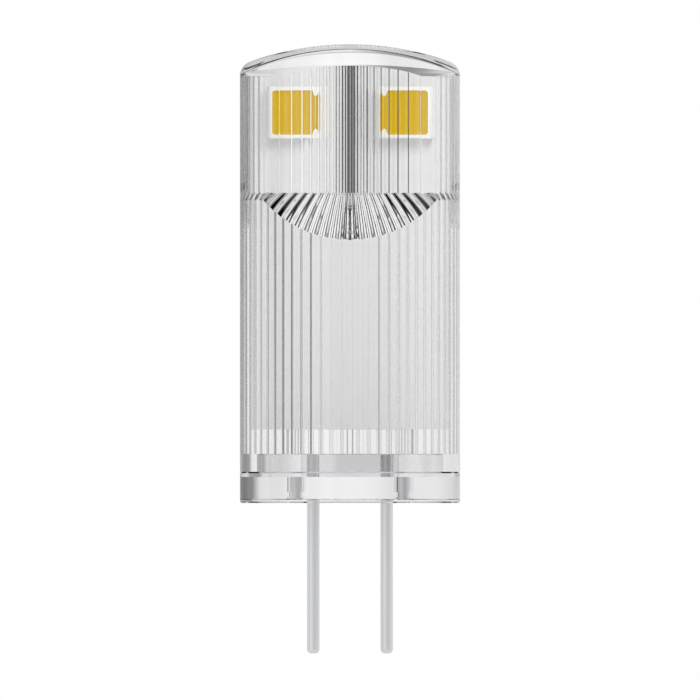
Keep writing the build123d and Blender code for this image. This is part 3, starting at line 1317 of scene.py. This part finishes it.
@dataclass
class Studio:
    """A white studio, lit evenly, with a bright screen on the left and dark cards towards the right.

    Each plan gives the light's strength at an azimuth in degrees, with 0 at the camera and 90 at the
    right. Reflections meet the first, and above the horizon they meet the second, which goes by how
    high they point, from -180 straight down to 180 straight up. What is seen straight through the
    plastic meets the third.
    """

    pixels_per_mm: float = 18.35
    photo_side: int = 700
    seat_pixel: float = 503.0
    camera_distance: float = 200.0
    middle: float = 8.4
    lamps: tuple[tuple[str, Point, float, float], ...] = (
        ("key", (55, -60, 70), 40, 0.36),
        ("fill", (-120, -120, 60), 90, 0.06),
    )
    floor_gap: float = 0.02
    floor_radius: float = 400.0
    paper: str = "#F4F4F4"
    paper_lift: float = 0.16
    sky: float = 0.66
    cards_end: tuple[float, float] = (0.15, 0.3)
    haze: float = 0.5
    haze_rise: tuple[float, float] = (0.06, 0.14)
    haze_back: tuple[float, float] = (0.8, 0.9)
    satin_lift: float = 0.55
    reflected: Plan = (
        (-180, 0.9), (-172, 0.5), (-166, 0.3), (-142, 0.28), (-132, 0.75), (-95, 0.75), (-92, 0.04), (-76, 0.04),
        (-73, 0.7), (-60, 0.7), (-50, 1.0), (-20, 0.95), (-14, 0.05), (-8, 0.12), (8, 0.12), (14, 0.02), (50, 0.05),
        (60, 0.3), (70, 0.35), (75, 0.85), (150, 0.75), (180, 0.9),
    )
    above: Plan = (
        (-180, 0.62), (0, 0.62), (90, 0.58), (115, 0.3), (140, 0.25), (158, 1.0), (180, 1.0),
    )
    through: Plan = (
        (-180, 1.0), (-172, 0.97), (-165, 0.85), (-140, 0.85), (-125, 0.72), (-85, 0.7), (-70, 1.0), (75, 1.0),
        (88, 0.22), (128, 0.22), (137, 0.85), (165, 0.9), (172, 0.97), (180, 1.0),
    )

    def camera(self) -> None:
        """Sets the camera level with the lamp, from far in front."""
        data = bpy.data.cameras.new("camera")
        camera = bpy.data.objects.new("camera", data)
        bpy.context.scene.collection.objects.link(camera)
        data.type = "ORTHO"
        data.ortho_scale = self.photo_side / self.pixels_per_mm * MM
        height = (self.seat_pixel - self.photo_side / 2) / self.pixels_per_mm
        camera.location = (0, -self.camera_distance * MM, height * MM)
        camera.rotation_euler = (math.pi / 2, 0, 0)
        data.clip_start, data.clip_end = 0.01, 2.0
        bpy.context.scene.camera = camera

    def lamp(self, name: str, spot: Point, size: float, strength: float) -> None:
        """Hangs a square soft lamp that faces the middle of the object and doesn't show in gloss.

        Args:
            name: The lamp's name.
            spot: Its place, in millimetres.
            size: The side of its square.
            strength: The light that it throws on the object, where 1 makes white paper white.
        """
        data = bpy.data.lights.new(name, "AREA")
        lamp = bpy.data.objects.new(name, data)
        bpy.context.scene.collection.objects.link(lamp)
        data.size = size * MM
        target = Vector((0, 0, self.middle)) * MM
        lamp.location = Vector(spot) * MM
        data.energy = strength * 4 * math.pi * (lamp.location - target).length_squared
        lamp.rotation_mode = "QUATERNION"
        lamp.rotation_quaternion = (target - lamp.location).to_track_quat("-Z", "Y")
        lamp.visible_glossy = lamp.visible_transmission = False

    def floor(self) -> None:
        """Lays a plain pale floor under the pins' tips.

        It keeps the object's shadow. What is seen through the plastic or mirrored looks past it.
        """
        deselect()
        height = CAD_BOX[0].z - self.floor_gap * MM
        bpy.ops.mesh.primitive_circle_add(
            vertices=128, radius=self.floor_radius * MM, fill_type="NGON", location=(0, 0, height)
        )
        floor = named("floor")
        material = bpy.data.materials.new("paper_white_seamless")
        tree = fresh(material)
        paper = add_node(tree, "ShaderNodeBsdfDiffuse", {"Color": linear(self.paper)}).outputs[0]
        lift = add_node(tree, "ShaderNodeEmission", {"Strength": self.paper_lift}).outputs[0]
        both = add_node(tree, "ShaderNodeAddShader", {0: paper, 1: lift}).outputs[0]
        clear = add_node(tree, "ShaderNodeBsdfTransparent").outputs[0]
        path = add_node(tree, "ShaderNodeLightPath").outputs
        lit = blended(tree, path["Is Diffuse Ray"], clear, paper)
        seen = blended(tree, path["Is Camera Ray"], lit, both)
        add_node(tree, "ShaderNodeOutputMaterial", {"Surface": seen})
        floor.data.materials.append(material)

    def drawn(self, tree: bpy.types.NodeTree, turn: bpy.types.NodeSocket, plan: Plan) -> bpy.types.NodeSocket:
        """Draws one of the studio's plans as a ramp.

        Args:
            tree: The world's nodes.
            turn: Where a ray points, from -pi to pi.
            plan: The plan.

        Returns:
            The strength of the light there.
        """
        ramp = add_node(tree, "ShaderNodeValToRGB", {"Fac": rising(tree, turn, -math.pi, math.pi, "LINEAR")})
        elements = ramp.color_ramp.elements
        elements[0].position, elements[1].position = 0.0, 1.0
        for spot, strength in plan[1:-1]:
            elements.new((spot + 180) / 360).color = (strength, strength, strength, 1)
        for element, (_, strength) in zip((elements[0], elements[-1]), (plan[0], plan[-1])):
            element.color = (strength, strength, strength, 1)
        return ramp.outputs["Color"]

    def cards(
        self, tree: bpy.types.NodeTree, azimuth: bpy.types.NodeSocket, rise: bpy.types.NodeSocket,
        off_level: bpy.types.NodeSocket,
    ) -> bpy.types.NodeSocket:
        """Works out what reflections meet: the cards while they are level, and the sky above or below.

        Args:
            tree: The world's nodes.
            azimuth: Where a ray points round the lamp.
            rise: How far it points up, from -1 to 1.
            off_level: The same without its sign.

        Returns:
            The strength of the light there.
        """
        inputs = {
            0: rising(tree, off_level, *self.cards_end, "SMOOTHSTEP"),
            2: self.drawn(tree, azimuth, self.reflected),
            3: self.drawn(tree, worked_out(tree, "MULTIPLY", rise, math.pi), self.above),
        }
        return add_node(tree, "ShaderNodeMix", inputs, data_type="FLOAT").outputs[0]

    def beyond(
        self, tree: bpy.types.NodeTree, azimuth: bpy.types.NodeSocket, back: bpy.types.NodeSocket,
        off_level: bpy.types.NodeSocket,
    ) -> bpy.types.NodeSocket:
        """Works out what is seen straight through the plastic: the third plan, with haze off level behind.

        Args:
            tree: The world's nodes.
            azimuth: Where a ray points round the lamp.
            back: How far it points away from the camera's side, from -1 to 1.
            off_level: How far it points up or down.

        Returns:
            The strength of the light there.
        """
        sloping = rising(tree, off_level, *self.haze_rise, "SMOOTHSTEP")
        behind = rising(tree, back, *self.haze_back, "SMOOTHSTEP")
        hazy = worked_out(tree, "MULTIPLY", sloping, behind)
        limit = worked_out(tree, "MULTIPLY_ADD", hazy, self.haze - 1.0, 1.0)
        return worked_out(tree, "MINIMUM", self.drawn(tree, azimuth, self.through), limit)

    def world(self) -> None:
        """Makes the sky: white behind the object, even for its light, and with the plans in its plastic."""
        world = bpy.data.worlds.new("studio")
        bpy.context.scene.world = world
        tree = fresh(world)
        coordinates = add_node(tree, "ShaderNodeTexCoord")
        axes = add_node(tree, "ShaderNodeSeparateXYZ", {0: coordinates.outputs["Generated"]}).outputs
        azimuth = worked_out(tree, "ARCTAN2", axes["X"], worked_out(tree, "MULTIPLY", axes["Y"], -1.0))
        off_level = worked_out(tree, "ABSOLUTE", axes["Z"])
        cards = self.cards(tree, azimuth, axes["Z"], off_level)
        lifted = worked_out(tree, "MULTIPLY_ADD", cards, 1 - self.satin_lift, self.satin_lift)
        path = add_node(tree, "ShaderNodeLightPath").outputs
        layers = (
            (worked_out(tree, "GREATER_THAN", path["Glossy Depth"], 0.5), cards),
            (worked_out(tree, "SUBTRACT", path["Is Glossy Ray"], path["Is Singular Ray"]), lifted),
            (path["Is Diffuse Ray"], self.sky),
            (path["Is Camera Ray"], 1.0),
        )
        white = {"Color": (1, 1, 1, 1)}
        beyond = self.beyond(tree, azimuth, axes["Y"], off_level)
        shown = add_node(tree, "ShaderNodeBackground", {**white, "Strength": beyond}).outputs[0]
        for factor, strength in layers:
            light = add_node(tree, "ShaderNodeBackground", {**white, "Strength": strength}).outputs[0]
            shown = blended(tree, factor, shown, light)
        add_node(tree, "ShaderNodeOutputWorld", {"Surface": shown})

    def build(self) -> None:
        """Sets up the camera, the lamps, the floor and the sky."""
        bpy.context.scene.view_settings.view_transform = "Standard"
        self.camera()
        for lamp in self.lamps:
            self.lamp(*lamp)
        self.floor()
        self.world()


def main() -> None:
    """Builds the lamp piece by piece, then the studio round it."""
    logging.basicConfig(level=logging.INFO, format="%(name)s: %(message)s")
    finishes = Finishes()
    for part in (Base(), Board(), Emitters(), Driver(), Cover()):
        part.build(finishes)
    Studio().build()


if __name__ == "__main__":
    main()
